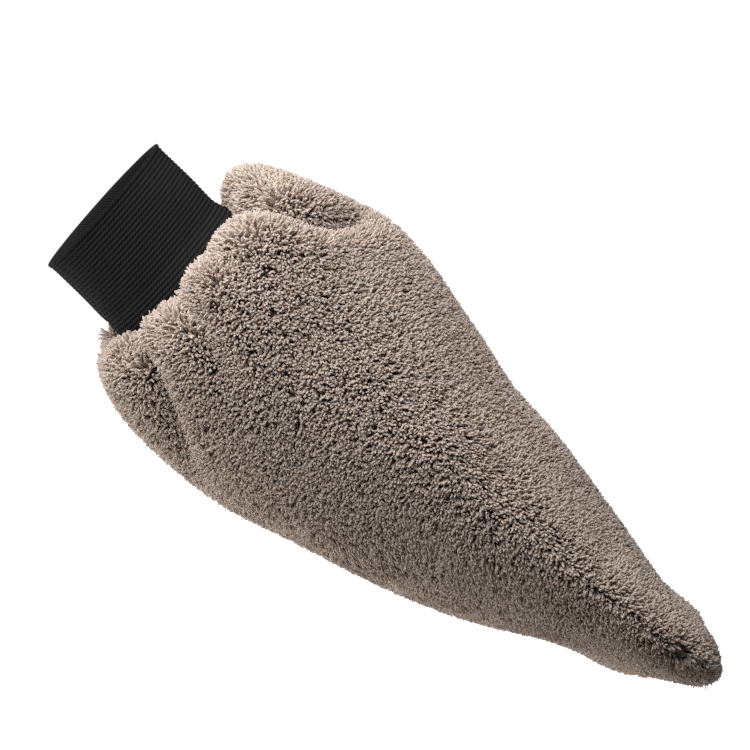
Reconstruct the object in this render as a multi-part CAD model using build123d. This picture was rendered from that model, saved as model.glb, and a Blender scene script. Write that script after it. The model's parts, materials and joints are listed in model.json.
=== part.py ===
"""Plush wash mitt with a ribbed elastic cuff, in the shape it has when worn.

The mitt lies palm down. +X points to the fingertip end, +Z up, Y across the hand.
The origin is on the flat patch of the palm that rests on a surface.
All sizes are in millimetres.
"""

from build123d import *
import math
import os

# ---- driving dimensions: bag ----------------------------------------------------
TIP_X = 120.0            # fingertip end of the bag
TIP_Z = 20.0             # height of the end seam above the resting surface
NECK_X = -122.7          # centre of the seam between bag and cuff
NECK_Z = 78.6

PANEL_THICKNESS = 9.0    # backing and pile together
LINING_GAP = 0.5         # air between panel and lining
LINING_THICKNESS = 0.9

FULLNESS = 2.3           # exponent of the cross-sections: 2 is an ellipse
SECTION_POINTS = 24

# Sections from behind the mouth to the start of the wedge. Each line is the section's
# centre along X, the lean of its plane in degrees, its reach above the seam plane, its
# reach below it, and its half width.
BODY_SECTIONS = [
    (-114.0, 19.0, 54.0, 50.0, 53.0),
    (-99.0, 18.0, 58.2, 53.0, 58.5),
    (-76.0, 10.0, 61.0, 61.0, 65.0),
    (-42.0, 3.0, 59.0, 59.8, 71.5),
    (-6.0, 0.0, 47.9, 51.6, 77.5),
    (28.0, 0.0, 36.8, 41.7, 81.5),
    (58.0, 0.0, 23.9, 29.6, 84.0),
]

# The fingertip half is a wedge with rounded corners and a rounded end.
WEDGE_X = 82.0           # where the wedge's straight taper starts
WEDGE_ABOVE = 15.8       # reach above and below the seam plane at WEDGE_X
WEDGE_BELOW = 21.6
WEDGE_ABOVE_TAPER = 0.19
WEDGE_BELOW_TAPER = 0.30
END_RADIUS = 12.0
END_PULL_BACK = 1.3      # the lined cavity ends this many insets before the outside does
END_TURNS = (0, 35, 60, 78)
SIDE_HALF_WIDTH = 84.0
CORNER_X = 70.0          # where the rounded corners of the outline start
CORNER_RADIUS = 50.0

MOUTH_RADIUS = 48.0      # outside of the gathered mouth
MOUTH_OVERHANG = 2.0     # the mouth reaches this far out over the neck seam

# ---- driving dimensions: cuff ---------------------------------------------------
CUFF_RISE = 19.0         # degrees that the cuff points up from the palm line
CUFF_BORE_RADIUS = 27.7  # snug on the wrist
CUFF_BORE_LENGTH = 27.0  # straight stretch of bore behind the rim
CUFF_LENGTH = 38.6       # from the neck seam to the rim
CUFF_TAIL = 9.0          # webbing sewn in behind the neck seam
CUFF_TAIL_RADIUS = 29.6  # bore at the neck seam and in the tail
WEBBING_THICKNESS = 2.0  # over the ribs
RIB_PITCH = 1.6
RIB_DEPTH = 0.45
JOIN_SLIT = 1.0          # degrees between the two butted ends of the webbing
RIB_CROWN_WIDTH = 0.8
RUBBER_SIDE = 0.6        # square-cut rubber thread
RUBBER_TUNNEL = 0.76

# ---- driving dimensions: threads ------------------------------------------------
SEAM_THREAD_RADIUS = 0.8
SEAM_CHANNEL_RADIUS = 1.0
SEAM_THREAD_INSET = 6.2  # from the bag's outer surface to the side stitching
SEAM_WEDGE_X = (82.0, 96.0, 107.8, 111.8)  # places in the wedge that the stitching follows
NECK_THREAD_RADIUS = 0.5
NECK_RING_RADIUS = 35.3
NECK_ROWS = 3
NECK_ROW_PITCH = 1.5
JOIN_THREAD_RADIUS = 0.35
JOIN_THREAD_LENGTH = 6.0
JOIN_THREAD_LIFT = 0.65  # from the floor of a rib groove to the thread's centre

BLOCK = 600.0            # larger than the mitt, for cutting it in halves

# ---- derived frame --------------------------------------------------------------
RISE = math.radians(CUFF_RISE)
NECK = Vector(NECK_X, 0, NECK_Z)
CUFF_OUT = Vector(-math.cos(RISE), 0, math.sin(RISE))
CUFF_UP = Vector(math.sin(RISE), 0, math.cos(RISE))
CUFF_PLANE = Plane(origin=NECK, x_dir=-CUFF_UP, z_dir=CUFF_OUT)
SEAM_SLOPE = (NECK_Z - TIP_Z) / (TIP_X - NECK_X)
STRAIGHT_START = CUFF_LENGTH - CUFF_BORE_LENGTH
RIB_COUNT = int((CUFF_LENGTH + CUFF_TAIL) / RIB_PITCH)


# ---- bag ------------------------------------------------------------------------
def seam_height(x):
    """Height of the plane that parts the back from the palm."""
    return TIP_Z + (TIP_X - x) * SEAM_SLOPE


def corner_half_width(x, inset):
    """Half width of the rounded-corner outline, moved in by inset."""
    radius = CORNER_RADIUS - inset
    along = max(x - CORNER_X, 0.0)
    return SIDE_HALF_WIDTH - CORNER_RADIUS + math.sqrt(radius**2 - along**2)


def section(x, lean, above, below, half_width):
    """A closed, rounded section of the bag on a plane that leans back by lean degrees."""
    angle = math.radians(lean)
    up = Vector(math.sin(angle), 0, math.cos(angle))
    centre = Vector(x, 0, seam_height(x))
    points = []
    for i in range(SECTION_POINTS):
        turn = 2 * math.pi * i / SECTION_POINTS
        across = math.copysign(abs(math.cos(turn)) ** (2 / FULLNESS), math.cos(turn))
        raised = math.copysign(abs(math.sin(turn)) ** (2 / FULLNESS), math.sin(turn))
        reach = above if raised > 0 else below
        points.append(centre + Vector(0, half_width * across, 0) + up * (reach * raised))
    return Wire(Edge.make_spline(points, periodic=True))


def mouth_section(inset):
    """The round mouth, square to the cuff's axis."""
    centre = NECK + CUFF_OUT * MOUTH_OVERHANG
    offset = centre.Z - seam_height(centre.X)
    radius = MOUTH_RADIUS - inset
    return section(centre.X, CUFF_RISE, radius + offset, radius - offset, radius)


def bag_volume(inset):
    """The worn bag as a solid body, its surface moved in by inset."""
    wires = [mouth_section(inset)]
    for x, lean, above, below, half_width in BODY_SECTIONS:
        wires.append(section(x, lean, above - inset, below - inset, half_width - inset))
    radius = END_RADIUS - inset
    end_start = TIP_X - END_RADIUS - END_PULL_BACK * inset
    for x in (WEDGE_X, (WEDGE_X + end_start) / 2):
        above, below = wedge_reach(x, inset)
        wires.append(section(x, 0, above, below, corner_half_width(x, inset)))
    above, below = wedge_reach(end_start, inset)
    for turn in END_TURNS:
        x = end_start + radius * math.sin(math.radians(turn))
        share = math.cos(math.radians(turn))
        wires.append(section(x, 0, above * share, below * share, corner_half_width(x, inset)))
    return Solid.make_loft(wires)


def wedge_reach(x, inset):
    """Reach above and below the seam plane in the fingertip wedge."""
    above = WEDGE_ABOVE - WEDGE_ABOVE_TAPER * (x - WEDGE_X) - inset
    below = WEDGE_BELOW - WEDGE_BELOW_TAPER * (x - WEDGE_X) - inset
    return above, below


def half_block(side):
    """A block over (side 1) or under (side -1) the seam plane."""
    plane = Plane(origin=(0, 0, seam_height(0)), x_dir=(1, 0, -SEAM_SLOPE), z_dir=(SEAM_SLOPE, 0, 1))
    return plane * Pos(0, 0, side * BLOCK / 2) * Box(BLOCK, BLOCK, BLOCK)


def seam_cord(radius):
    """Round cord along the side seam, from the mouth around the end and back."""
    inset = SEAM_THREAD_INSET
    outline = [(x, half_width - inset) for x, _, _, _, half_width in BODY_SECTIONS]
    end_x = TIP_X - inset
    for x in SEAM_WEDGE_X:
        outline.append((x, corner_half_width(x, inset)))
    points = [Vector(x, y, seam_height(x)) for x, y in outline]
    points.append(Vector(end_x, 0, seam_height(end_x)))
    points.extend(Vector(x, -y, seam_height(x)) for x, y in reversed(outline))
    path = Edge.make_spline(points)
    return sweep(Plane(origin=path @ 0, z_dir=path % 0) * Circle(radius), path=path)


def panels_and_linings():
    """The four fabric shells, parted at the seam plane."""
    outside = bag_volume(0)
    panel_inside = bag_volume(PANEL_THICKNESS)
    lining_outside = bag_volume(PANEL_THICKNESS + LINING_GAP)
    lining_inside = bag_volume(PANEL_THICKNESS + LINING_GAP + LINING_THICKNESS)
    resting_surface = Pos(0, 0, -BLOCK / 2) * Box(BLOCK, BLOCK, BLOCK)
    plush = outside - panel_inside - resting_surface - seam_cord(SEAM_CHANNEL_RADIUS)
    lining = lining_outside - lining_inside
    return {
        "back_panel": plush & half_block(1),
        "palm_panel": plush & half_block(-1),
        "back_lining": lining & half_block(1),
        "palm_lining": lining & half_block(-1),
    }


# ---- cuff: local Z runs out along the cuff from the neck seam, local X points down ----
def bore_radius(along):
    """Bore of the cuff at a distance from the neck seam."""
    share = min(max(along / STRAIGHT_START, 0.0), 1.0)
    return CUFF_TAIL_RADIUS + (CUFF_BORE_RADIUS - CUFF_TAIL_RADIUS) * share


def groove_point(along):
    """Floor of the groove between two ribs."""
    return Vector(bore_radius(along) + WEBBING_THICKNESS - RIB_DEPTH, 0, along)


def crown_point(along):
    """Top of a rib."""
    return Vector(bore_radius(along) + WEBBING_THICKNESS, 0, along)


def rib_crowns():
    """Distance of each rib's crown from the neck seam, from the rim inwards."""
    return [CUFF_LENGTH - RIB_PITCH * (i + 0.5) for i in range(RIB_COUNT)]


def cuff_webbing():
    """Woven elastic with one rib over each rubber thread, its ends butted below the wrist."""
    outline = [groove_point(CUFF_LENGTH)]
    for crown in rib_crowns():
        outline.append(crown_point(crown + RIB_CROWN_WIDTH / 2))
        outline.append(crown_point(crown - RIB_CROWN_WIDTH / 2))
        outline.append(groove_point(crown - RIB_PITCH / 2))
    tail = outline[-1].Z
    outline.append(Vector(CUFF_TAIL_RADIUS, 0, tail))
    outline.append(Vector(CUFF_TAIL_RADIUS, 0, 0))
    outline.append(Vector(CUFF_BORE_RADIUS, 0, STRAIGHT_START))
    outline.append(Vector(CUFF_BORE_RADIUS, 0, CUFF_LENGTH))
    tunnels = [rubber_section(crown, RUBBER_TUNNEL) for crown in rib_crowns()]
    return band(Face(Wire.make_polygon(outline), tunnels))


def rubber_section(crown, side):
    """Square cross-section of the rubber thread, or of its tunnel, under one rib."""
    middle = bore_radius(crown) + (WEBBING_THICKNESS - RIB_DEPTH) / 2
    corners = []
    for right, up in ((-1, -1), (1, -1), (1, 1), (-1, 1)):
        corners.append(Vector(middle + right * side / 2, 0, crown + up * side / 2))
    return Wire.make_polygon(corners)


def band(profile):
    """Sweep a profile around the wrist, leaving the slit where the webbing's ends meet."""
    solid = Solid.revolve(profile, 360 - JOIN_SLIT, Axis.Z)
    return solid.rotate(Axis.Z, JOIN_SLIT / 2)


def rubber_threads():
    """One square-cut elastic core in the tunnel under each rib."""
    return [band(Face(rubber_section(crown, RUBBER_SIDE))) for crown in rib_crowns()]


def join_stitches():
    """Thread across the butted ends, one stitch in each groove outside the bag."""
    stitches = []
    for crown in rib_crowns():
        floor = groove_point(crown - RIB_PITCH / 2)
        if floor.Z > MOUTH_OVERHANG + RIB_PITCH:
            place = Pos(floor.X + JOIN_THREAD_LIFT, 0, floor.Z)
            stitches.append(place * Rot(90, 0, 0) * Cylinder(JOIN_THREAD_RADIUS, JOIN_THREAD_LENGTH))
    return stitches


def neck_stitches():
    """Rows of thread that hold the gathered mouth on the webbing's sewn-in edge."""
    rows = []
    for i in range(NECK_ROWS):
        along = (i - (NECK_ROWS - 1) / 2) * NECK_ROW_PITCH
        rows.append(Pos(0, 0, along) * Torus(NECK_RING_RADIUS, NECK_THREAD_RADIUS))
    return rows


def on_cuff(shapes):
    """Place shapes made in the cuff's own axes."""
    return Compound(children=[CUFF_PLANE * shape for shape in shapes])


def build():
    """Every node of the mitt by name."""
    nodes = panels_and_linings()
    nodes["side_seam_thread"] = seam_cord(SEAM_THREAD_RADIUS)
    nodes["neck_stitches"] = on_cuff(neck_stitches())
    nodes["cuff_webbing"] = CUFF_PLANE * cuff_webbing()
    nodes["cuff_rubber_threads"] = on_cuff(rubber_threads())
    nodes["cuff_join_stitches"] = on_cuff(join_stitches())
    return nodes


os.makedirs("parts", exist_ok=True)
for name, shape in build().items():
    export_step(shape, f"parts/{name}.step")
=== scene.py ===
"""Looks of the plush wash mitt: pile, backing, lining, ribbed cuff and threads.

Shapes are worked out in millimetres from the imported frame; new_mesh() turns them into
metres. "Around" is an angle about the cuff's axis: 0 is the back of the hand, 90 the side
that faces the camera, 180 the palm.
"""

import json
import math

import bpy
import numpy as np
from mathutils import Matrix, Vector
from mathutils.bvhtree import BVHTree
from mathutils.kdtree import KDTree


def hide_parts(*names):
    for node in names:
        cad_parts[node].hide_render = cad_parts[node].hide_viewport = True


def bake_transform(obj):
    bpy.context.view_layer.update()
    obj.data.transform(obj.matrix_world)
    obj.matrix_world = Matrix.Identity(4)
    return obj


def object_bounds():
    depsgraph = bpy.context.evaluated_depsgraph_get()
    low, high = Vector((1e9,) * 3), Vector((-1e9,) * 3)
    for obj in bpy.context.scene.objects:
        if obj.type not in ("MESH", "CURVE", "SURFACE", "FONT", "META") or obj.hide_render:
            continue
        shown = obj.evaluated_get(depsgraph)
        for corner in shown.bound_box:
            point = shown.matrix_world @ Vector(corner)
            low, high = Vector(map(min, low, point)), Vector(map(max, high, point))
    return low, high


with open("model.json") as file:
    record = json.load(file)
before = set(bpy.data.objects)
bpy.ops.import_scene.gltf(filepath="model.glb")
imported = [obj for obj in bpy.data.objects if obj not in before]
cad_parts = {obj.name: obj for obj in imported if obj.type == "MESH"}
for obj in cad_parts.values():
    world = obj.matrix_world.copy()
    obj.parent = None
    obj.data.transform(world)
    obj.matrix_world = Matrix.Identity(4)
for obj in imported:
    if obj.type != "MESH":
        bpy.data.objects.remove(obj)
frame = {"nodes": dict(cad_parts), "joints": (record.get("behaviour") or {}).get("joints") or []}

cad_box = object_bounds()

# ---- frame facts ----------------------------------------------------------------
MM = 1000.0
JOINTS = {joint["name"]: joint for joint in frame["joints"]}
NECK = np.array(JOINTS["cuff_flex"]["pos_m"]) * MM
UP = np.array(JOINTS["cuff_swing"]["axis"])
TOWARDS_CAMERA = np.array((0.0, -1.0, 0.0))
OUT = np.cross(TOWARDS_CAMERA, UP)       # from the bag out along the cuff
REST_LEAN = math.degrees(math.atan2(UP[0], UP[2]))   # how far the neck leans from upright

# ---- driving dimensions, millimetres --------------------------------------------
PILE = 6.0               # depth of pile over the backing
PRESSED_LOSS = 0.8       # how much lower it lies where it is pressed flat
PRESSED_BELOW = 21.0     # height under which the pile is pressed
PRESSED_FADE = 7.0       # further down by this much it is fully pressed
LOOSE_TIP = 45.0         # length of the fingertip end where it isn't pressed
LOOSE_TIP_FADE = 35.0    # and back from there by this much it comes to be fully pressed
SEAM_BACK = 5.0          # the bag is sewn to the cuff this far inside the neck's pivot
COLUMNS = 168            # points around the bag
QUARTER = COLUMNS // 4   # the side seam runs along columns QUARTER and 3 * QUARTER
TURN = np.arange(COLUMNS) * 360.0 / COLUMNS      # angle around of each column, degrees
BODY_STEP = 4.2          # spacing of rings along the bag
FULL_RING_AT = 50.0      # distance from the neck to the first ring the gathers don't reach
LEVEL_X = -5.0           # from here to the fingertips the rings stand upright
END_RADIUS = 12.0        # the end is rounded over by this much
END_TURNS = (14, 28, 42, 55, 67, 78)     # rings around the rounded end, degrees
END_BULGE = 0.6          # how far past them the end seam lies
GATHER_ROWS = 30         # rings in the gathers, between the neck seam and the first full ring
RAY_REACH = 250.0        # longer than any distance inside the mitt
# Share drawn in above and below the side seam, which stands as a crest, at places along X.
SIDE_CREST = [(-110, 0.0), (-60, 0.09), (-20, 0.14), (40, 0.14), (80, 0.08), (110, 0.0)]
TIP_DRAW = (-3.8, 0.0, 1.8)      # how the filled end draws back and up from its flat shape
TIP_DRAW_FROM = 90.0     # place along X where that starts
SEED = 7

rng = np.random.default_rng(SEED)


def cad_surface(*nodes):
    """Surface of some CAD nodes to cast rays at, and its points, in millimetres."""
    points = []
    faces = []
    for name in nodes:
        mesh = frame["nodes"][name].data
        offset = len(points)
        points.extend(vertex.co * MM for vertex in mesh.vertices)
        faces.extend([offset + i for i in polygon.vertices] for polygon in mesh.polygons)
    return BVHTree.FromPolygons(points, faces), np.array(points)


PLUSH_SURFACE, PLUSH_POINTS = cad_surface("back_panel", "palm_panel")
WEBBING_POINTS = cad_surface("cuff_webbing")[1]
TIP_X = PLUSH_POINTS[:, 0].max()
TIP_Z = PLUSH_POINTS[PLUSH_POINTS[:, 0] > TIP_X - 0.2, 2].mean()


def cuff_along(points):
    """Distance of points out along the cuff, from the neck's pivot."""
    return (points - NECK) @ OUT


def webbing_extent():
    """Where the webbing starts and ends, and its outer radius at the neck and the rim."""
    along = cuff_along(WEBBING_POINTS)
    radius = np.linalg.norm(WEBBING_POINTS - NECK - along[:, None] * OUT, axis=1)
    at_neck = radius[np.abs(along) < 2].max()
    at_rim = radius[along > along.max() - 2].max()
    return along.min(), along.max(), at_neck, at_rim


CUFF_START, CUFF_END, NECK_RADIUS, RIM_RADIUS = webbing_extent()


# ---- small helpers ----------------------------------------------------------------
def new_mesh(name, points, faces, smooth=True):
    """Mesh object from millimetre points."""
    mesh = bpy.data.meshes.new(name)
    mesh.from_pydata((np.asarray(points) / MM).tolist(), [], faces)
    mesh.update()
    if smooth:
        mesh.shade_smooth()
    piece = bpy.data.objects.new(name, mesh)
    bpy.context.scene.collection.objects.link(piece)
    return piece


def unit(vectors):
    """Vectors scaled to length one, along the last axis."""
    length = np.linalg.norm(vectors, axis=-1, keepdims=True)
    return vectors / np.maximum(length, 1e-9)


def smooth_curve(table, at):
    """Values of a smooth curve through the rows (t, a, b, ...) of a table."""
    table = np.array(table, float)
    t = table[:, 0]
    slopes = np.gradient(table[:, 1:], t, axis=0)
    at = np.clip(np.asarray(at, float), t[0], t[-1])
    k = np.clip(np.searchsorted(t, at, side="right") - 1, 0, len(t) - 2)
    step = t[k + 1] - t[k]
    s = ((at - t[k]) / step)[..., None]
    step = step[..., None]
    a = table[k, 1:]
    b = table[k + 1, 1:]
    return (
        a * (2 * s**3 - 3 * s**2 + 1)
        + b * (3 * s**2 - 2 * s**3)
        + slopes[k] * step * (s**3 - 2 * s**2 + s)
        + slopes[k + 1] * step * (s**3 - s**2)
    )


def around_direction(degrees):
    """Unit vectors square to the cuff's axis at an angle around it."""
    angle = np.radians(degrees)
    return np.cos(angle)[..., None] * UP + np.sin(angle)[..., None] * TOWARDS_CAMERA


def angle_gap(a, b):
    """Smallest difference of two angles in degrees."""
    return (a - b + 180) % 360 - 180


def ring_faces(rows, columns, closed=False, flipped=False):
    """Quads from each ring of points to the next, and from the last to the first if closed."""
    faces = []
    for i in range(rows if closed else rows - 1):
        here = i * columns
        after = (i + 1) % rows * columns
        for j in range(columns):
            k = (j + 1) % columns
            if flipped:
                faces.append((here + j, after + j, after + k, here + k))
            else:
                faces.append((here + j, here + k, after + k, after + j))
    return faces


def resample(path, step):
    """Points a step apart along a path."""
    lengths = np.r_[0, np.cumsum(np.linalg.norm(np.diff(path, axis=0), axis=1))]
    at = np.arange(0, lengths[-1], step)
    return np.stack([np.interp(at, lengths, path[:, i]) for i in range(3)], axis=1)


def tube(name, path, radius, sides=6, closed=False):
    """Round thread along a path of points."""
    path = np.asarray(path)
    if closed:
        tangent = unit(np.roll(path, -1, axis=0) - np.roll(path, 1, axis=0))
    else:
        tangent = unit(np.gradient(path, axis=0))
    guide = unit(path - path.mean(axis=0) + 1e-3)
    side = unit(np.cross(tangent, guide))
    other = np.cross(tangent, side)
    rings = []
    for s in range(sides):
        angle = 2 * math.pi * s / sides
        rings.append(path + (side * math.cos(angle) + other * math.sin(angle)) * radius)
    points = np.stack(rings, axis=1)
    rows = len(path)
    faces = ring_faces(rows, sides, closed)
    if not closed:
        faces.append(tuple(range(sides))[::-1])
        faces.append(tuple((rows - 1) * sides + s for s in range(sides)))
    return new_mesh(name, points.reshape(-1, 3), faces)


def store(piece, name, values):
    """Keep one number per point for the material to read."""
    attribute = piece.data.attributes.new(name, "FLOAT", "POINT")
    attribute.data.foreach_set("value", np.asarray(values, np.float32))


# ---- the bag's backing --------------------------------------------------------------
def seam_height(x):
    """Height of the side seam."""
    return TIP_Z + (NECK[2] - TIP_Z) * (TIP_X - x) / (TIP_X - NECK[0])


def outer_hit(centre, direction):
    """Where the pile's outer surface lies in a direction from a centre inside the bag."""
    start = Vector(centre + direction * RAY_REACH)
    hit = PLUSH_SURFACE.ray_cast(start, Vector(-direction), RAY_REACH)[0]
    return np.array(hit) if hit else centre


def body_ring(x):
    """One ring of the outer surface, leaning back less and less towards the fingertips."""
    lean = math.radians(REST_LEAN * min(max((LEVEL_X - x) / (LEVEL_X - NECK[0]), 0.0), 1.0))
    up = np.array((math.sin(lean), 0.0, math.cos(lean)))
    centre = np.array((x, 0.0, seam_height(x)))
    above = np.linalg.norm(outer_hit(centre, up) - centre)
    below = np.linalg.norm(outer_hit(centre, -up) - centre)
    width = np.linalg.norm(outer_hit(centre, TOWARDS_CAMERA) - centre)
    crest = smooth_curve(SIDE_CREST, x)[0]
    ring = []
    for angle in np.radians(TURN):
        height = above if math.cos(angle) > 0 else below
        towards = up * (height * math.cos(angle)) + TOWARDS_CAMERA * (width * math.sin(angle))
        hit = outer_hit(centre, towards / np.linalg.norm(towards))
        ring.append(centre + (hit - centre) * (1 - crest * math.sin(2 * angle) ** 2))
    return ring


def body_rings():
    """Outer surface of the bag from the first full ring to the end seam."""
    first = NECK[0] + FULL_RING_AT * -OUT[0]
    steps = int((TIP_X - END_RADIUS - first) / BODY_STEP)
    places = list(np.linspace(first, TIP_X - END_RADIUS, steps))
    for turn in END_TURNS:
        places.append(TIP_X - END_RADIUS + END_RADIUS * math.sin(math.radians(turn)))
    return np.array([body_ring(x) for x in places])


def grid_normals(grid):
    """Outward normals of a grid of rings."""
    around = np.roll(grid, -1, axis=1) - np.roll(grid, 1, axis=1)
    along = np.gradient(grid, axis=0)
    return unit(np.cross(around, along))


# How a gathered lobe leaves the neck seam: progress along, then progress of the radius
# and distance past the seam towards the wrist (minus is towards the fingertips).
LOBE = [
    (0.0, 0.00, 0.0),
    (0.12, 0.22, 2.6),
    (0.25, 0.50, 3.0),
    (0.38, 0.74, -0.6),
    (0.52, 0.88, -8.5),
    (0.68, 0.95, -19.0),
    (0.84, 0.985, -32.0),
    (1.0, 1.00, -46.0),
]
# Lobes that lap further over the cuff: degrees around, spread, extra reach, drop.
LAPS = [(-8.0, 24.0, 8.5, 5.5), (206.0, 16.0, 5.0, 3.0)]
LAP_SHARE = 0.5          # the extra reach is all in this first share of the gathers

# Creases between the lobes: depth, width, then (distance from the neck, degrees around).
CREASES = [
    (15.0, 5.5, [(0, 35), (3, 41), (9, 40), (19, 38), (26, 33), (32, 24), (36, 12), (38, 2)]),
    (6.5, 6.0, [(0, 98), (9, 97), (18, 97), (28, 101), (40, 108)]),
    (12.0, 5.0, [(0, 134), (6, 129), (14, 128), (24, 134), (34, 141), (46, 151), (54, 158)]),
    (7.0, 5.0, [(0, 198), (12, 200), (24, 204)]),
    (9.0, 6.0, [(0, 222), (14, 226), (34, 230)]),
    (8.0, 5.0, [(0, 256), (14, 260), (30, 266)]),
    (9.0, 5.5, [(0, 290), (14, 286), (30, 290)]),
    (10.0, 6.0, [(0, 326), (14, 318), (30, 314), (42, 320)]),
    (2.0, 4.5, [(0, 72), (9, 74), (16, 77)]),
    (3.0, 4.0, [(0, 114), (7, 113), (12, 112)]),
]
CREASE_ROOT = 12.0       # how far a crease runs down the back of the lobes
CREASE_ROOT_PAST = 3.0   # how far past the neck seam it does so
CREASE_ROOT_POINTS = 6
CREASE_POINTS = 28
CREASE_REACH = 150.0     # further from the cuff's axis than any lobe

# Broad swellings and hollows: height, width, place along X, degrees around.
SWELLINGS = [
    (2.5, 16.0, -66, 2),
    (2.5, 8.0, -106, 57),
    (2.5, 8.0, -92, 52),
    (2.5, 8.0, -80, 46),
    (2.0, 8.0, -70, 35),
    (-2.0, 10.0, -73, 78),
    (2.0, 14.0, -30, 50),
    (1.2, 18.0, -44, 4),
    (-3.2, 16.0, 13, 0),
    (2.0, 12.0, -20, 86),
    (-2.5, 12.0, -66, 112),
    (1.2, 18.0, 62, 0),
    (-1.5, 12.0, 25, 60),
    (2.0, 14.0, -56, -50),
    (-2.0, 14.0, -37, -80),
    (2.0, 14.0, 0, -40),
    (2.0, 16.0, -37, -130),
    (-1.5, 13.0, 10, -110),
    (-2.6, 11.0, -134, 176),
    (-4.4, 28.0, -50, 180),
    (-0.8, 14.0, 26, 180),
    (5.2, 20.0, 88, 180),
    (-5.0, 10.0, 90, 0),
    (-3.0, 13.0, 89, 60),
    (-3.0, 13.0, 89, -60),
    (-1.5, 18.0, 4, 40),
    (-1.5, 18.0, 4, -40),
    (2.8, 8.0, 110, 0),
    (-2.8, 8.0, 118, 180),
]


def gathered_rows(full_ring):
    """The backing from the neck seam to its first full ring, before the creases."""
    t = np.linspace(0, 1, GATHER_ROWS, endpoint=False)
    radial, past = smooth_curve(LOBE, t).T
    start = NECK - OUT * SEAM_BACK + around_direction(TURN) * NECK_RADIUS
    span = full_ring - start
    span_out = (span @ OUT)[:, None] * OUT
    span_round = span - span_out
    last = LOBE[-1][2]
    lap = np.zeros((COLUMNS, 1))
    drop = np.zeros((COLUMNS, 3))
    for degrees, spread, reach, fall in LAPS:
        share = np.exp(-((angle_gap(TURN, degrees) / spread) ** 2))[:, None]
        lap += reach * share
        drop += around_direction(TURN) * fall * share
    rows = []
    for k, p, s in zip(radial, past, t):
        extra = lap * math.sin(math.pi * min(s / LAP_SHARE, 1.0)) ** 1.2
        if p > 0:
            forward = OUT * p
        else:
            forward = span_out * (p / last)
        sunk = drop * math.sin(math.pi * s)
        rows.append(start + span_round * k + forward + extra * OUT - sunk)
    return np.array(rows)


def crease_samples(surface, path):
    """Points along a crease: down the back of the lobes at the neck, then over the bag."""
    table = np.array(path, float)
    first = table[0]
    points = []
    for share in np.linspace(0, 1, CREASE_ROOT_POINTS):
        radius = NECK_RADIUS + CREASE_ROOT * share
        direction = around_direction(np.array(first[1]))
        points.append((NECK - OUT * (SEAM_BACK - CREASE_ROOT_PAST) + direction * radius, 0.0))
    for share in np.linspace(0, 1, CREASE_POINTS):
        distance, degrees = smooth_curve(np.c_[np.linspace(0, 1, len(table)), table], share)
        centre = NECK - OUT * distance
        direction = around_direction(np.array(degrees))
        start = Vector(centre + direction * CREASE_REACH)
        hit = surface.ray_cast(start, Vector(-direction), CREASE_REACH)[0]
        if hit:
            points.append((np.array(hit), share))
    return points


def crease(grid, surface, depth, width, path):
    """Inward shift of every point of the grid for one crease, fading out along its path."""
    samples = crease_samples(surface, path)
    shift = np.zeros(grid.shape[:2])
    for point, share in samples:
        gap = np.linalg.norm(grid - point, axis=2)
        fade = math.cos(share * math.pi / 2) ** 0.7
        shift = np.maximum(shift, depth * fade * np.exp(-((gap / width) ** 2)))
    return shift


def relax(grid, rows, rounds):
    """Even out the first rows of a grid of rings, holding the neck seam."""
    for _ in range(rounds):
        mean = (np.roll(grid, 1, axis=1) + np.roll(grid, -1, axis=1)) / 4
        mean[1:-1] += (grid[:-2] + grid[2:]) / 4
        grid[1:rows] = (grid[1:rows] + mean[1:rows]) / 2
    return grid


def pressed(points):
    """How far the pile is laid flat: fully where the palm rests, fading towards the tip."""
    low = np.clip((PRESSED_BELOW - points[..., 2]) / PRESSED_FADE, 0.0, 1.0)
    return low * np.clip((TIP_X - LOOSE_TIP - points[..., 0]) / LOOSE_TIP_FADE, 0.0, 1.0)


def inward_shift(grid):
    """How far each point of the grid is drawn in by the creases, hollows and swellings."""
    points = [Vector(p) for p in grid.reshape(-1, 3)]
    surface = BVHTree.FromPolygons(points, ring_faces(len(grid), COLUMNS))
    shift = np.zeros(grid.shape[:2])
    for depth, width, path in CREASES:
        shift = np.maximum(shift, crease(grid, surface, depth, width, path))
    for height, width, x, degrees in SWELLINGS:
        centre = np.array((x, 0.0, seam_height(x)))
        angle = math.radians(degrees)
        direction = np.array((0.0, -math.sin(angle), math.cos(angle)))
        gap = np.linalg.norm(grid - outer_hit(centre, direction), axis=2)
        shift -= height * np.exp(-((gap / width) ** 2))
    shift[0] = 0
    return shift


def backing_grid():
    """Rings of the backing that carries the pile, from the neck seam to the end seam."""
    outer = body_rings()
    outward = grid_normals(outer)
    body = outer - outward * (PILE - PRESSED_LOSS * pressed(outer))[..., None]
    mirrored = body[-1][(2 * QUARTER - np.arange(COLUMNS)) % COLUMNS]
    end_line = (body[-1] + mirrored) / 2 + np.array((END_BULGE, 0.0, 0.0))
    grid = np.concatenate([gathered_rows(body[0]), body, end_line[None]])
    grid = relax(grid, GATHER_ROWS + 6, 4)
    grid = grid - grid_normals(grid) * inward_shift(grid)[..., None]
    share = np.clip((grid[..., :1] - TIP_DRAW_FROM) / (TIP_X - TIP_DRAW_FROM - PILE), 0, 1)
    grid += share**2 * np.array(TIP_DRAW)
    return relax(grid, GATHER_ROWS + 8, 3)


PUFF_FRAMES = 18
PUFF_PRESSURE = 3.0
PUFF_LIMIT = 3.5         # most that the cloth may move
HELD_AT_NECK = 2         # rings of the cloth that are held in place at each end
HELD_AT_END = 3


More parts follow.
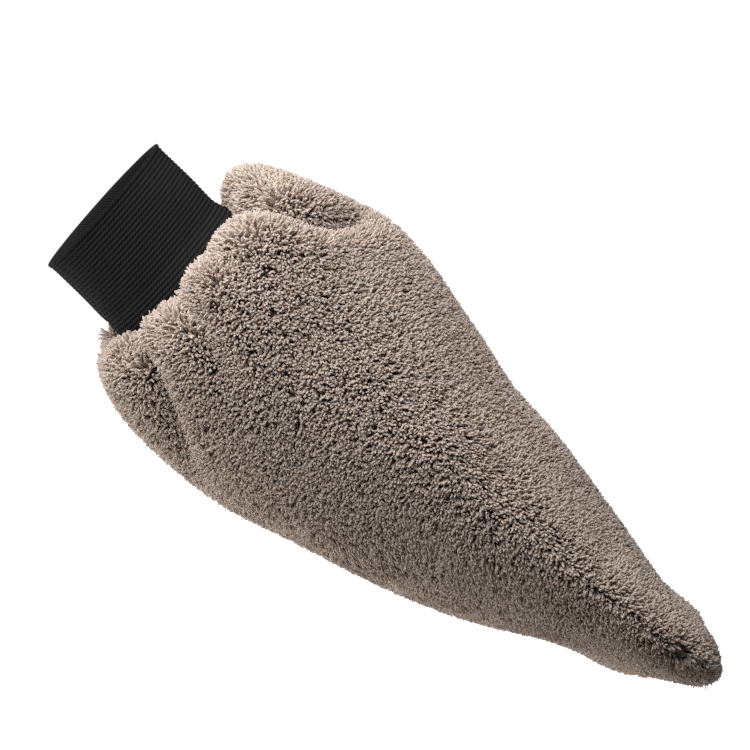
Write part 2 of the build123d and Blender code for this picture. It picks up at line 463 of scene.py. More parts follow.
def puffed(grid):
    """The backing after a cloth simulation has blown it out between its seams.

    The mean swell is taken off again, so that the bag keeps its size.
    """
    rows, columns = grid.shape[:2]
    piece = new_mesh("puffing_cloth", grid.reshape(-1, 3), ring_faces(rows, columns))
    held = piece.vertex_groups.new(name="held")
    held.add(list(range(HELD_AT_NECK * columns)), 1.0, "REPLACE")
    held.add(list(range((rows - HELD_AT_END) * columns, rows * columns)), 1.0, "REPLACE")
    for j in (QUARTER, 3 * QUARTER):
        held.add([i * columns + j for i in range(rows)], 1.0, "REPLACE")
    cloth = piece.modifiers.new("cloth", "CLOTH")
    settings = cloth.settings
    settings.quality = 6
    settings.mass = 0.15
    settings.tension_stiffness = 12
    settings.compression_stiffness = 12
    settings.shear_stiffness = 5
    settings.bending_stiffness = 0.4
    settings.tension_damping = 12
    settings.compression_damping = 12
    settings.air_damping = 3
    settings.effector_weights.gravity = 0.0
    settings.use_pressure = True
    settings.uniform_pressure_force = PUFF_PRESSURE
    settings.vertex_group_mass = "held"
    settings.pin_stiffness = 1.0
    cloth.point_cache.frame_start = 1
    cloth.point_cache.frame_end = PUFF_FRAMES
    scene = bpy.context.scene
    for frame_number in range(1, PUFF_FRAMES + 1):
        scene.frame_set(frame_number)
    shape = piece.evaluated_get(bpy.context.evaluated_depsgraph_get()).to_mesh()
    moved = np.zeros(rows * columns * 3, np.float32)
    shape.vertices.foreach_get("co", moved)
    bpy.data.objects.remove(piece)
    scene.frame_set(1)
    shift = moved.reshape(grid.shape) * MM - grid
    length = np.linalg.norm(shift, axis=2, keepdims=True)
    shift *= PUFF_LIMIT * np.tanh(length / PUFF_LIMIT) / np.maximum(length, 1e-6)
    normals = grid_normals(grid)
    swell = np.sum(shift * normals, axis=2).mean()
    return grid + shift - normals * swell * (np.abs(shift).sum(axis=2, keepdims=True) > 1e-3)


BACKING = backing_grid()
BACKING = puffed(BACKING)


# ---- pile --------------------------------------------------------------------------
TUFT_SPACING = 0.82
TUFT_LENGTH = 6.0
TUFT_LENGTHS = (0.84, 1.08)      # shortest and longest, as shares of that length
TUFT_GIRTHS = (0.8, 1.15)
TUFT_SIDES = 4
TUFT_TWIST = 0.35                # turn of the tip, as a share of one side
# Height along the tuft, and its radius there: blunt, so that neighbours nearly touch.
TUFT_PROFILE = [(0.0, 0.42), (0.6, 0.54), (0.93, 0.47)]
TUFT_TIP = 1.03
TUFT_BEND = 1.7                  # power of its height by which a tuft leans over
TUFT_LEAN_LOSS = 0.45            # height lost for the square of the lean
TUFT_LEAST_RISE = 0.45           # least square of the height left
TUFT_CRIMP = 0.12
TUFT_JITTER = 0.8                # share of its cell that a root may wander
MAX_TUFTS_PER_PIECE = 9000       # keeps each piece under 200,000 triangles
# Leans are shares of a tuft's length. A clump is its wavelength and how far it leans.
CLUMPS = [(40.0, 0.14), (5.0, 0.14)]
STRAY_LEAN = 0.26                # each tuft's own
PILE_LIE = (0.10, 0.0, -0.13)    # how the pile was brushed: towards the fingertips and down
LIE_FROM = 30.0                  # it lies fully from this far past the neck
LIE_BACK = -0.4                  # and the other way, by this share, on the lobes over the cuff
PRESSED_CLUMP = (9.0, 0.4)
PRESSED_LIE = (0.25, 0.0, 0.0)
WAVES = 9                        # waves in one field of clumps
SIDE_GROOVE = 0.15       # bare strip on each side of the side seam
END_PATCH_HEIGHT = 2.6   # half height of the patch near the end where the stitching shows
END_PATCH_X = 88.5
END_PATCH_HALF_LENGTH = 5.0
SEAM_PULL = 1.5          # how strongly tufts turn straight out beside the seam
SEAM_REACH = 3.5
SEAM_STEP = 0.55         # spacing of points along the seam


def quad_roots(grid, normals):
    """Places and normals of the tufts, one wandering in each cell about a spacing wide."""
    roots = []
    rows, columns = grid.shape[:2]
    for i in range(rows - 1):
        for j in range(columns):
            k = (j + 1) % columns
            a, b, c, d = grid[i, j], grid[i, k], grid[i + 1, k], grid[i + 1, j]
            across = (np.linalg.norm(b - a) + np.linalg.norm(c - d)) / 2
            down = (np.linalg.norm(d - a) + np.linalg.norm(c - b)) / 2
            n_wide = int(across / TUFT_SPACING + rng.random())
            n_deep = int(down / TUFT_SPACING + rng.random())
            if n_wide == 0 or n_deep == 0:
                continue
            wander = 0.5 + TUFT_JITTER * (rng.random((2, n_wide, n_deep)) - 0.5)
            u = (np.arange(n_wide)[:, None] + wander[0]) / n_wide
            v = (np.arange(n_deep)[None, :] + wander[1]) / n_deep
            u = u.ravel()[:, None]
            v = v.ravel()[:, None]
            weights = ((1 - u) * (1 - v), u * (1 - v), u * v, (1 - u) * v)
            corners = ((i, j), (i, k), (i + 1, k), (i + 1, j))
            place = sum(w * grid[c] for w, c in zip(weights, corners))
            up = sum(w * normals[c] for w, c in zip(weights, corners))
            roots.append(np.hstack([place, up]))
    roots = np.concatenate(roots)
    return roots[:, :3], unit(roots[:, 3:])


def seam_line():
    """Points along the side seam, from the cuff around the end and back, and the way out."""
    near = BACKING[3:-1, QUARTER]
    end = BACKING[-1, QUARTER : 3 * QUARTER + 1]
    far = BACKING[3:-1, 3 * QUARTER][::-1]
    line = resample(np.concatenate([near, end, far]), SEAM_STEP)
    along = unit(np.gradient(line, axis=0))
    outward = unit(np.stack([-along[:, 1], along[:, 0], np.zeros(len(line))], axis=1))
    outward *= np.sign(np.sum(outward * (line - line.mean(axis=0)), axis=1))[:, None]
    return line, outward


def near_seam(points):
    """Distance of points from the seam, and the way out from the bag where they are closest."""
    line, outward = seam_line()
    seam = KDTree(len(line))
    for i, place in enumerate(line):
        seam.insert(Vector(place), i)
    seam.balance()
    found = [seam.find(Vector(point)) for point in points]
    return np.array([gap for _, _, gap in found]), outward[[i for _, i, _ in found]]


def standing(roots, normals):
    """Way the tufts stand, and which of them stand clear of the bare strip along the seam.

    They stand square to the backing, but straight out from the bag beside the seam.
    """
    gap, outward = near_seam(roots)
    pull = SEAM_PULL * np.exp(-((gap / SEAM_REACH) ** 2))[:, None]
    patch = END_PATCH_HEIGHT * (1 - ((roots[:, 0] - END_PATCH_X) / END_PATCH_HALF_LENGTH) ** 2)
    bare = np.where(roots[:, 1] < 0, np.maximum(patch, SIDE_GROOVE), SIDE_GROOVE)
    return unit(normals + outward * pull), gap > bare


def wave_field(points, wavelength, seed):
    """Smooth random vectors over space, made of a few waves."""
    local = np.random.default_rng(seed)
    total = np.zeros_like(points)
    for _ in range(WAVES):
        direction = unit(local.normal(size=3))
        length = wavelength * local.uniform(0.6, 1.6)
        phase = local.uniform(0, 2 * math.pi)
        swing = local.normal(size=3)
        total += np.sin(points @ direction * (2 * math.pi / length) + phase)[:, None] * swing
    return total / math.sqrt(WAVES)


def tuft_lean(roots, normals):
    """Sideways reach of each tuft's tip as a share of its length."""
    lean = np.zeros(roots.shape)
    for n, (wavelength, amount) in enumerate(CLUMPS, 1):
        lean += wave_field(roots, wavelength, SEED + n) * amount
    lean += rng.normal(0, STRAY_LEAN, roots.shape)
    brushed = np.clip(-cuff_along(roots) / LIE_FROM, LIE_BACK, 1.0)[:, None]
    lean += brushed * np.array(PILE_LIE)
    wavelength, amount = PRESSED_CLUMP
    flat = wave_field(roots, wavelength, SEED + 3) * amount + np.array(PRESSED_LIE)
    lean += pressed(roots)[:, None] * flat
    return lean - normals * np.sum(lean * normals, axis=1, keepdims=True)


def tuft_mesh(name, roots, normals):
    """All tufts of one piece as a mesh, with their tone and height stored for the material."""
    count = len(roots)
    lean = tuft_lean(roots, normals)
    length = TUFT_LENGTH * rng.uniform(*TUFT_LENGTHS, (count, 1))
    steepness = 1 - TUFT_LEAN_LOSS * np.sum(lean**2, axis=1, keepdims=True)
    rise = length * np.sqrt(np.maximum(steepness, TUFT_LEAST_RISE))
    girth = rng.uniform(*TUFT_GIRTHS, (count, 1))
    tone = rng.random(count)
    side = unit(np.cross(normals, unit(rng.normal(size=(count, 3)))))
    other = np.cross(normals, side)
    rings = []
    for height, radius in TUFT_PROFILE:
        centre = roots + normals * (rise * height) + lean * (length * height**TUFT_BEND)
        centre += rng.normal(0, TUFT_CRIMP, (count, 3)) * height
        for s in range(TUFT_SIDES):
            angle = 2 * math.pi * (s + TUFT_TWIST * height) / TUFT_SIDES
            rings.append(centre + (side * math.cos(angle) + other * math.sin(angle)) * radius * girth)
    rings.append(roots + normals * (rise * TUFT_TIP) + lean * (length * TUFT_TIP**TUFT_BEND))
    points = np.stack(rings, axis=1)
    per = len(rings)
    quads = []
    for level in range(len(TUFT_PROFILE) - 1):
        for s in range(TUFT_SIDES):
            a = level * TUFT_SIDES + s
            b = level * TUFT_SIDES + (s + 1) % TUFT_SIDES
            quads.append((a, b, b + TUFT_SIDES, a + TUFT_SIDES))
    top = (len(TUFT_PROFILE) - 1) * TUFT_SIDES
    tris = [(top + s, top + (s + 1) % TUFT_SIDES, per - 1) for s in range(TUFT_SIDES)]
    offsets = (np.arange(count) * per)[:, None, None]
    all_quads = (np.array(quads)[None] + offsets).reshape(-1, 4)
    all_tris = (np.array(tris)[None] + offsets).reshape(-1, 3)
    piece = new_mesh(name, points.reshape(-1, 3), all_quads.tolist() + all_tris.tolist())
    # The height along each tuft drives the painted shade at the root in the pile material.
    heights = [h for h, _ in TUFT_PROFILE for _ in range(TUFT_SIDES)] + [TUFT_TIP]
    store(piece, "tuft_height", np.tile(heights, count))
    store(piece, "tuft_tone", np.repeat(tone, per))
    return piece


# ---- materials ---------------------------------------------------------------------
def new_material(name, roughness, sheen=0.0):
    """A Principled material and shortcuts to its nodes."""
    material = bpy.data.materials.new(name)
    material.use_nodes = True
    nodes = material.node_tree.nodes
    shader = nodes["Principled BSDF"]
    shader.inputs["Roughness"].default_value = roughness
    shader.inputs["Specular IOR Level"].default_value = 0.2
    shader.inputs["Sheen Weight"].default_value = sheen
    shader.inputs["Sheen Roughness"].default_value = 0.5
    return material, nodes, material.node_tree.links, shader


def ramp(nodes, stops):
    """Colour ramp node from (position, colour) stops."""
    node = nodes.new("ShaderNodeValToRGB")
    elements = node.color_ramp.elements
    while len(elements) < len(stops):
        elements.new(0.5)
    for element, (position, colour) in zip(elements, stops):
        element.position = position
        element.color = (*colour, 1.0)
    return node


def multiply(nodes, links, first, second):
    """Node output with the product of two colours."""
    mix = nodes.new("ShaderNodeMix")
    mix.data_type = "RGBA"
    mix.blend_type = "MULTIPLY"
    mix.inputs["Factor"].default_value = 1.0
    links.new(first, mix.inputs["A"])
    links.new(second, mix.inputs["B"])
    return mix.outputs["Result"]


def pile_material():
    """Taupe pile, every tuft a little different; each tuft is darker towards its root as painted
    shade in the gaps between the tufts.
    """
    material, nodes, links, shader = new_material("plush_pile", 0.95, 0.05)
    height = nodes.new("ShaderNodeAttribute")
    height.attribute_name = "tuft_height"
    tone = nodes.new("ShaderNodeAttribute")
    tone.attribute_name = "tuft_tone"
    # Painted shade: each tuft is coloured darker towards its root, for the shade in the gaps between
    # the tufts.
    along = ramp(nodes, [
        (0.0, (0.50, 0.415, 0.357)),
        (0.6, (0.56, 0.468, 0.405)),
        (1.0, (0.58, 0.487, 0.423)),
    ])
    links.new(height.outputs["Fac"], along.inputs["Fac"])
    between = ramp(nodes, [(0.0, (0.90, 0.89, 0.88)), (1.0, (1.08, 1.08, 1.08))])
    links.new(tone.outputs["Fac"], between.inputs["Fac"])
    result = multiply(nodes, links, along.outputs["Color"], between.outputs["Color"])
    links.new(result, shader.inputs["Base Color"])
    through = nodes.new("ShaderNodeBsdfTranslucent")
    links.new(result, through.inputs["Color"])
    blend = nodes.new("ShaderNodeMixShader")
    blend.inputs["Fac"].default_value = 0.35
    links.new(shader.outputs["BSDF"], blend.inputs[1])
    links.new(through.outputs["BSDF"], blend.inputs[2])
    links.new(blend.outputs["Shader"], nodes["Material Output"].inputs["Surface"])
    return material


def knit_material(name, dark, light, scale, roughness=0.9):
    """Fine knitted cloth: crossed waves for the loops."""
    material, nodes, links, shader = new_material(name, roughness, 0.2)
    place = nodes.new("ShaderNodeTexCoord")
    wave = nodes.new("ShaderNodeTexWave")
    wave.inputs["Scale"].default_value = scale
    wave.inputs["Distortion"].default_value = 1.5
    links.new(place.outputs["Object"], wave.inputs["Vector"])
    colour = ramp(nodes, [(0.0, dark), (1.0, light)])
    links.new(wave.outputs["Fac"], colour.inputs["Fac"])
    links.new(colour.outputs["Color"], shader.inputs["Base Color"])
    bump = nodes.new("ShaderNodeBump")
    bump.inputs["Strength"].default_value = 0.4
    bump.inputs["Distance"].default_value = 0.0003
    links.new(wave.outputs["Fac"], bump.inputs["Height"])
    links.new(bump.outputs["Normal"], shader.inputs["Normal"])
    return material


def webbing_material():
    """Black woven elastic: tiny stitches leaning one way on each rib, painted shade in the grooves
    between the ribs, and a little lint.
    """
    material, nodes, links, shader = new_material("cuff_webbing_weave", 1.0)
    shader.inputs["Specular IOR Level"].default_value = 0.05
    place = nodes.new("ShaderNodeUVMap")
    place.uv_map = "weave"
    wave = nodes.new("ShaderNodeTexWave")
    wave.bands_direction = "DIAGONAL"
    wave.inputs["Scale"].default_value = 0.42
    wave.inputs["Distortion"].default_value = 0.8
    wave.inputs["Detail Scale"].default_value = 3.0
    links.new(place.outputs["UV"], wave.inputs["Vector"])
    # Painted shade: the webbing is coloured darker down in the grooves between the ribs and lighter
    # on their crests.
    height = nodes.new("ShaderNodeAttribute")
    height.attribute_name = "rib_height"
    rib = ramp(nodes, [(0.0, (0.004, 0.004, 0.0042)), (1.0, (0.015, 0.015, 0.0153))])
    links.new(height.outputs["Fac"], rib.inputs["Fac"])
    stitch = ramp(nodes, [(0.25, (0.80, 0.80, 0.80)), (0.8, (1.15, 1.15, 1.15))])
    links.new(wave.outputs["Fac"], stitch.inputs["Fac"])
    woven = multiply(nodes, links, rib.outputs["Color"], stitch.outputs["Color"])
    lint = nodes.new("ShaderNodeTexVoronoi")
    lint.inputs["Scale"].default_value = 0.07
    links.new(place.outputs["UV"], lint.inputs["Vector"])
    flecks = ramp(nodes, [(0.0, (5.0, 5.0, 4.8)), (0.03, (1.0, 1.0, 1.0))])
    links.new(lint.outputs["Distance"], flecks.inputs["Fac"])
    result = multiply(nodes, links, woven, flecks.outputs["Color"])
    links.new(result, shader.inputs["Base Color"])
    bump = nodes.new("ShaderNodeBump")
    bump.inputs["Strength"].default_value = 0.5
    bump.inputs["Distance"].default_value = 0.0002
    links.new(wave.outputs["Fac"], bump.inputs["Height"])
    links.new(bump.outputs["Normal"], shader.inputs["Normal"])
    return material


def thread_material(name, colour):
    """Twisted thread: fine slanted bands."""
    dark = tuple(c * 0.55 for c in colour)
    return knit_material(name, dark, colour, 2600, 0.75)


PILE_MATERIAL = pile_material()
BACKING_MATERIAL = knit_material("plush_backing", (0.15, 0.118, 0.098), (0.26, 0.21, 0.178), 900)
LINING_MATERIAL = knit_material("lining_knit", (0.16, 0.13, 0.11), (0.26, 0.215, 0.18), 700)
WEBBING_MATERIAL = webbing_material()
SEAM_THREAD_MATERIAL = thread_material("seam_thread_twist", (0.13, 0.10, 0.08))
BLACK_THREAD_MATERIAL = thread_material("black_thread_twist", (0.03, 0.03, 0.03))
RUBBER_MATERIAL = knit_material("rubber_core_cut", (0.02, 0.02, 0.02), (0.04, 0.04, 0.042), 300, 0.6)


def finish_piece(piece, material):
    """Give a piece its material and slot, and bake its placement into its points."""
    piece.data.materials.append(material)
    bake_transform(piece)


# ---- build the bag -------------------------------------------------------------------
BACK_COLUMNS = [j % COLUMNS for j in range(-QUARTER, QUARTER + 1)]
PALM_COLUMNS = [j % COLUMNS for j in range(QUARTER, 3 * QUARTER + 1)]
BACKING_THICKNESS = 0.8
LINING_GAP = 0.4
LINING_THICKNESS = 0.6
OVERLOCK_SWING = 0.75    # how far the seam's thread swings to each side
OVERLOCK_LIFT = 0.15
OVERLOCK_RADIUS = 0.26
OVERLOCK_POINTS = 4      # points of the seam in one swing to and fro


def closed_sheet(name, outside, inside):
    """A sheet with thickness, between two grids with the same rows and columns."""
    rows, columns = outside.shape[:2]
    count = rows * columns
    faces = []
    for i in range(rows - 1):
        for j in range(columns - 1):
            a = i * columns + j
            quad = (a, a + 1, a + columns + 1, a + columns)
            faces.append(quad)
            faces.append(tuple(count + p for p in reversed(quad)))
    edge = list(range(columns))
    edge += [i * columns + columns - 1 for i in range(1, rows)]
    edge += [(rows - 1) * columns + j for j in range(columns - 2, -1, -1)]
    edge += [i * columns for i in range(rows - 2, 0, -1)]
    for a, b in zip(edge, edge[1:] + edge[:1]):
        faces.append((b, a, count + a, count + b))
    points = np.concatenate([outside.reshape(-1, 3), inside.reshape(-1, 3)])
    return new_mesh(name, points, faces)


def build_sheets():
    """Backing and lining of each panel, as separate sheets that meet at the side seam."""
    normals = grid_normals(BACKING)
    lining_out = BACKING - normals * (BACKING_THICKNESS + LINING_GAP)
    lining_in = lining_out - normals * LINING_THICKNESS
    backing_in = BACKING - normals * BACKING_THICKNESS
    for name, columns in (("back", BACK_COLUMNS), ("palm", PALM_COLUMNS)):
        sheet = closed_sheet(name + "_backing", BACKING[:, columns], backing_in[:, columns])
        finish_piece(sheet, BACKING_MATERIAL)
        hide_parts(name + "_panel")
        inner = closed_sheet(name + "_lining_knit", lining_out[:, columns], lining_in[:, columns])
        finish_piece(inner, LINING_MATERIAL)
        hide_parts(name + "_lining")


def build_pile():
    """Tufts over both panels, in pieces of a handy size from the cuff to the fingertips."""
    roots, normals = quad_roots(BACKING, grid_normals(BACKING))
    normals, kept = standing(roots, normals)
    roots = roots[kept]
    normals = normals[kept]
    order = np.argsort(roots[:, 0])
    roots = roots[order]
    normals = normals[order]
    above = roots[:, 2] > seam_height(roots[:, 0])
    for side_name, chosen in (("back", above), ("palm", ~above)):
        places = roots[chosen]
        ups = normals[chosen]
        parts = math.ceil(len(places) / MAX_TUFTS_PER_PIECE)
        for n, index in enumerate(np.array_split(np.arange(len(places)), parts), 1):
            piece = tuft_mesh(f"{side_name}_pile_{n:02d}", places[index], ups[index])
            finish_piece(piece, PILE_MATERIAL)


def build_seam_thread():
    """Overlock thread zigzagging over the side seam, around the end and back."""
    line, outward = seam_line()
    along = unit(np.gradient(line, axis=0))
    across = unit(np.cross(along, outward))
    swing = np.sin(np.arange(len(line)) * (2 * math.pi / OVERLOCK_POINTS))[:, None]
    path = line + across * swing * OVERLOCK_SWING + outward * OVERLOCK_LIFT
    piece = tube("side_overlock_thread", path, OVERLOCK_RADIUS)
    finish_piece(piece, SEAM_THREAD_MATERIAL)
    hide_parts("side_seam_thread")


# ---- build the cuff --------------------------------------------------------------------
RIB_PITCH = 1.6
RIB_DEPTH = 0.36
INNER_RIB_DEPTH = 0.12
RIB_STEPS = 8
INNER_STEP = 4           # the inside has one ring for this many outside
CUFF_COLUMNS = 288
WEBBING_THICKNESS = 2.0
BAND_SPLIT = 7.0         # distance from the neck where the two pieces of the band meet
RIM_STRAIGHT = 30.0      # the last stretch of the cuff, which keeps one width
RIM_CURL = 0.7           # how far the rim turns out
RIM_CURL_LENGTH = 1.3
JOIN_AT = 180.0          # degrees around where the webbing's ends are joined
JOIN_DEPTH = 0.5         # depth and half width, in degrees, of the groove at the join
JOIN_WIDTH = 0.9
JOIN_START = 8.5         # distance from the neck where its stitching starts
JOIN_MARGIN = 1.0        # and from the rim where it ends
JOIN_SPREAD = 3.4        # degrees that it reaches to each side
JOIN_STITCH_DEPTH = 0.12
CORE_COLUMNS = 90
# Corners of a rubber thread's square section: depth under the rib, and shift along the cuff.
CORE_SECTION = [(0.5, -0.3), (0.5, 0.3), (1.1, 0.3), (1.1, -0.3)]
ZIGZAG_POINTS = 8        # points in one zigzag stitch


def cuff_outer_radius(along):
    """Outer radius over the ribs at a distance from the neck."""
    share = np.clip(along / (CUFF_END - RIM_STRAIGHT), 0.0, 1.0)
    return NECK_RADIUS + (RIM_RADIUS - NECK_RADIUS) * share


def cuff_ripple(along, degrees):
    """Slow unevenness of worn elastic, and its sag next to the bag."""
    angle = np.radians(degrees)
    return (
        -1.1 * np.cos(angle) * np.exp(-(((along - 9.0) / 9.0) ** 2))
        + 0.28 * np.sin(2 * angle + 0.6 + along / 19.0)
        + 0.16 * np.sin(5 * angle - along / 9.0)
        + 0.10 * np.sin(9 * angle + along / 5.0)
    )


def cuff_point(along, degrees, inward):
    """Point of the webbing a depth inward from the tops of its ribs."""
    radius = cuff_outer_radius(along) + cuff_ripple(along, degrees) - inward
    radius += RIM_CURL * np.exp(-((CUFF_END - along) / RIM_CURL_LENGTH))
    return NECK + along[..., None] * OUT + radius[..., None] * around_direction(degrees)


def cuff_band(name, start, end):
    """A ribbed piece of the band: out over the ribs, around the edge and back inside."""
    steps = int(round((end - start) / RIB_PITCH * RIB_STEPS))
    along = np.linspace(start, end, steps + 1)
    height = np.abs(np.sin(math.pi * (CUFF_END - along) / RIB_PITCH)) ** 0.8
    degrees = np.arange(CUFF_COLUMNS) * 360.0 / CUFF_COLUMNS
    a, d = np.meshgrid(along, degrees, indexing="ij")
    join = JOIN_DEPTH * np.exp(-((angle_gap(d, JOIN_AT) / JOIN_WIDTH) ** 2))
    outer = cuff_point(a, d, RIB_DEPTH * (1 - height[:, None]) + join)
    inner_along = along[::INNER_STEP]
    a_in, d_in = np.meshgrid(inner_along, degrees, indexing="ij")
    inner_phase = math.pi * (CUFF_END - inner_along) / RIB_PITCH * 2
    inner_rib = INNER_RIB_DEPTH * np.abs(np.sin(inner_phase))
    inner = cuff_point(a_in, d_in, WEBBING_THICKNESS - inner_rib[:, None])
    grid = np.concatenate([outer, inner[::-1]])
    rows = len(grid)
    faces = ring_faces(rows, CUFF_COLUMNS, closed=True, flipped=True)
    piece = new_mesh(name, grid.reshape(-1, 3), faces)
    # The rib height goes to the material, which paints shade into the grooves with it; the inside
    # gets a middle value.
    rib = np.concatenate([height, np.full(len(inner_along), 0.5)])
    store(piece, "rib_height", np.repeat(rib, CUFF_COLUMNS))
    weave_map(piece, rows, np.concatenate([along, inner_along[::-1]]))
    return piece


def weave_map(piece, rows, along):
    """Flat map of the band in millimetres, for the weave."""
    layer = piece.data.uv_layers.new(name="weave")
    around = np.arange(CUFF_COLUMNS + 1) * (2 * math.pi * NECK_RADIUS / CUFF_COLUMNS)
    uv = []
    for i in range(rows):
        n = (i + 1) % rows
        for j in range(CUFF_COLUMNS):
            uv.extend((around[j], along[i], around[j], along[n]))
            uv.extend((around[j + 1], along[n], around[j + 1], along[i]))
    layer.data.foreach_set("uv", np.array(uv, np.float32))


def rubber_cores(name, start, end):
    """Square-cut rubber threads inside the ribs between two places."""
    first = math.ceil((CUFF_END - end) / RIB_PITCH - 0.5)
    degrees = np.arange(CORE_COLUMNS) * 360.0 / CORE_COLUMNS
    core_faces = ring_faces(len(CORE_SECTION), CORE_COLUMNS, closed=True, flipped=True)
    points = []
    faces = []
    crown = CUFF_END - RIB_PITCH * (first + 0.5)
    while crown > start + RIB_PITCH / 4:
        base = len(points) * CORE_COLUMNS
        faces.extend(tuple(base + corner for corner in face) for face in core_faces)
        for inward, shift in CORE_SECTION:
            points.append(cuff_point(np.full(CORE_COLUMNS, crown + shift), degrees, inward))
        crown -= RIB_PITCH
    return new_mesh(name, np.concatenate(points), faces, smooth=False)


def zigzag_ring(name, along, width, pitch, lift, radius):
    """Zigzag stitching around the webbing."""
    count = int(2 * math.pi * NECK_RADIUS / pitch) * ZIGZAG_POINTS
    degrees = np.arange(count) * 360.0 / count
    phase = np.arange(count) * (2 * math.pi / ZIGZAG_POINTS)
    place = along + width / 2 * np.sin(phase)
    depth = -lift * np.abs(np.cos(phase)) - 0.1
    return tube(name, cuff_point(place, degrees, depth), radius, sides=5, closed=True)


def build_cuff():
    """Webbing in two pieces that meet at a groove, with its cores and stitching."""
    split = CUFF_END - RIB_PITCH * round((CUFF_END - BAND_SPLIT) / RIB_PITCH)
    neck_band = cuff_band("cuff_neck_band", CUFF_START, split)
    finish_piece(neck_band, WEBBING_MATERIAL)
    outer_band = cuff_band("cuff_band", split, CUFF_END)
    finish_piece(outer_band, WEBBING_MATERIAL)
    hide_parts("cuff_webbing")
    cores = rubber_cores("cuff_cores", split, CUFF_END)
    finish_piece(cores, RUBBER_MATERIAL)
    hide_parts("cuff_rubber_threads")
    neck_cores = rubber_cores("neck_cores", CUFF_START, split)
    finish_piece(neck_cores, RUBBER_MATERIAL)
    stitches = zigzag_ring("neck_zigzag", -SEAM_BACK + 1.5, 2.4, 2.2, 0.3, 0.22)
    finish_piece(stitches, BLACK_THREAD_MATERIAL)
    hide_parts("neck_stitches")
    build_join()


def build_join():
    """Thread back and forth over the butted ends of the webbing, under the wrist."""
    count = int((CUFF_END - JOIN_START) / RIB_PITCH) * ZIGZAG_POINTS
    along = np.linspace(JOIN_START, CUFF_END - JOIN_MARGIN, count)
    swing = np.sin(np.arange(count) * (2 * math.pi / ZIGZAG_POINTS))
    path = cuff_point(along, JOIN_AT + JOIN_SPREAD * swing, JOIN_STITCH_DEPTH)
    piece = tube("join_zigzag", path, 0.2, sides=5)
    finish_piece(piece, BLACK_THREAD_MATERIAL)
    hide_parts("cuff_join_stitches")


build_sheets()
build_pile()
build_seam_thread()
build_cuff()


# ---- floor, light and camera ----------------------------------------------------------
AZIMUTH = math.radians(-8.0)
ELEVATION = math.radians(3.0)
ROLL = math.radians(23.0)
BOX_MIDDLE = (Vector(cad_box[0]) + Vector(cad_box[1])) / 2
TARGET = Vector((BOX_MIDDLE.x - 0.01601, 0.0, BOX_MIDDLE.z + 0.00778))   # middle of the view
LENS = 180.0
SENSOR = 36.0
FRAME_WIDTH = 0.2810     # width of view at the mitt's mid plane, metres
FLOOR_DROP = 0.07        # the mitt is held up over the floor, metres
FLOOR_SIZE = 40.0
FLOOR_DARK_Y = -0.13     # in front of this the floor throws back hardly any light
FLOOR_BRIGHT_Y = -0.01   # and behind this nearly all of it

# Axes of the view: back towards the camera, right and up in the picture.
back = Vector((
    math.sin(AZIMUTH) * math.cos(ELEVATION),
    -math.cos(AZIMUTH) * math.cos(ELEVATION),
    math.sin(ELEVATION),
))
level_right = Vector((math.cos(AZIMUTH), math.sin(AZIMUTH), 0.0))
level_up = back.cross(level_right)
right = level_right * math.cos(ROLL) + level_up * math.sin(ROLL)
image_up = level_up * math.cos(ROLL) - level_right * math.sin(ROLL)


def look_matrix(position, x_axis, y_axis, z_axis):
    """Placement of a camera or lamp from its axes."""
    rotation = Matrix((x_axis, y_axis, z_axis)).transposed().to_4x4()
    return Matrix.Translation(position) @ rotation


def add_camera():
    """Long lens, from the side of the mitt and rolled so that it points down and right."""
    data = bpy.data.cameras.new("camera")
    data.lens = LENS
    data.sensor_width = SENSOR
    camera = bpy.data.objects.new("camera", data)
    bpy.context.scene.collection.objects.link(camera)
    distance = FRAME_WIDTH * LENS / SENSOR
    camera.matrix_world = look_matrix(TARGET + back * distance, right, image_up, back)
    bpy.context.scene.camera = camera


def add_soft_box(name, towards, distance, size, power):
    """Large square lamp in a direction from the mitt, facing it."""
    data = bpy.data.lights.new(name, "AREA")
    data.size = size
    data.energy = power
    lamp = bpy.data.objects.new(name, data)
    bpy.context.scene.collection.objects.link(lamp)
    z_axis = towards.normalized()
    x_axis = z_axis.orthogonal().normalized()
    place = TARGET + z_axis * distance
    lamp.matrix_world = look_matrix(place, x_axis, z_axis.cross(x_axis), z_axis)


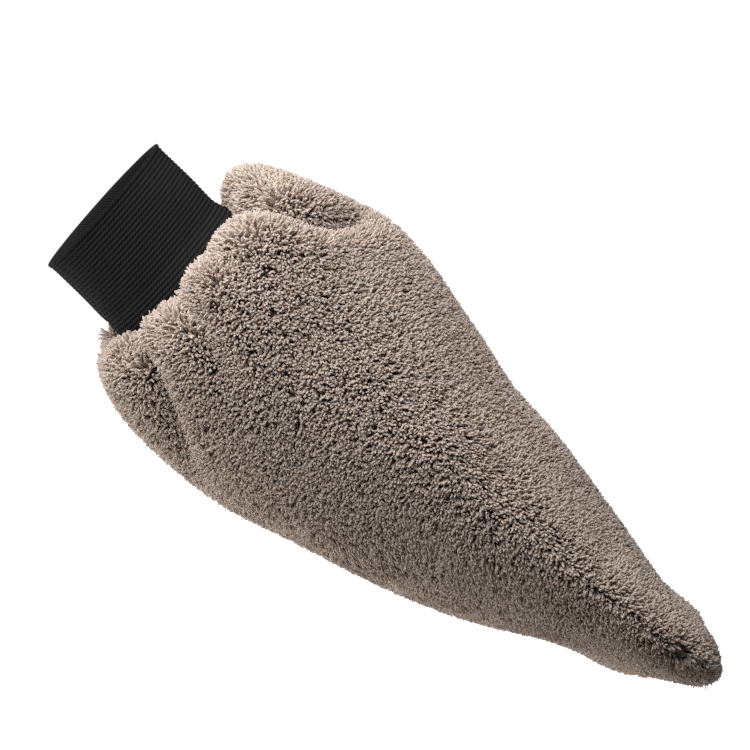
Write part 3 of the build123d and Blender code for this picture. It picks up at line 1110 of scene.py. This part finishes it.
def add_world():
    """Backdrop that is white to the camera and a faint light to the mitt."""
    world = bpy.data.worlds.new("studio")
    bpy.context.scene.world = world
    world.use_nodes = True
    nodes = world.node_tree.nodes
    links = world.node_tree.links
    background = nodes["Background"]
    background.inputs["Color"].default_value = (1, 1, 1, 1)
    path = nodes.new("ShaderNodeLightPath")
    strength = nodes.new("ShaderNodeMapRange")
    strength.inputs["To Min"].default_value = 0.05
    strength.inputs["To Max"].default_value = 1.1
    links.new(path.outputs["Is Camera Ray"], strength.inputs["Value"])
    links.new(strength.outputs["Result"], background.inputs["Strength"])


def add_floor():
    """Floor that is white to the camera, and lights the mitt only from the far side."""
    place = (0, 0, cad_box[0][2] - FLOOR_DROP)
    bpy.ops.mesh.primitive_plane_add(size=FLOOR_SIZE, location=place)
    floor = bpy.context.object
    floor.name = "floor"
    material, nodes, links, shader = new_material("floor_paper", 0.9)
    geometry = nodes.new("ShaderNodeNewGeometry")
    axes = nodes.new("ShaderNodeSeparateXYZ")
    links.new(geometry.outputs["Position"], axes.inputs["Vector"])
    paleness = nodes.new("ShaderNodeMapRange")
    paleness.inputs["From Min"].default_value = FLOOR_DARK_Y
    paleness.inputs["From Max"].default_value = FLOOR_BRIGHT_Y
    paleness.inputs["To Min"].default_value = 0.02
    paleness.inputs["To Max"].default_value = 0.95
    links.new(axes.outputs["Y"], paleness.inputs["Value"])
    links.new(paleness.outputs["Result"], shader.inputs["Base Color"])
    shader.inputs["Emission Color"].default_value = (1, 1, 1, 1)
    path = nodes.new("ShaderNodeLightPath")
    glow = nodes.new("ShaderNodeMix")
    glow.inputs["B"].default_value = 1.0
    links.new(path.outputs["Is Camera Ray"], glow.inputs["Factor"])
    links.new(paleness.outputs["Result"], glow.inputs["A"])
    links.new(glow.outputs["Result"], shader.inputs["Emission Strength"])
    floor.data.materials.append(material)


add_camera()
add_soft_box("key", image_up + back * 0.72 - right * 0.50, 0.55, 0.8, 11.2)
add_soft_box("fill", image_up + right * 0.50 - back * 0.20, 0.70, 0.7, 1.4)
add_world()
add_floor()
bpy.context.scene.view_settings.view_transform = "Standard"
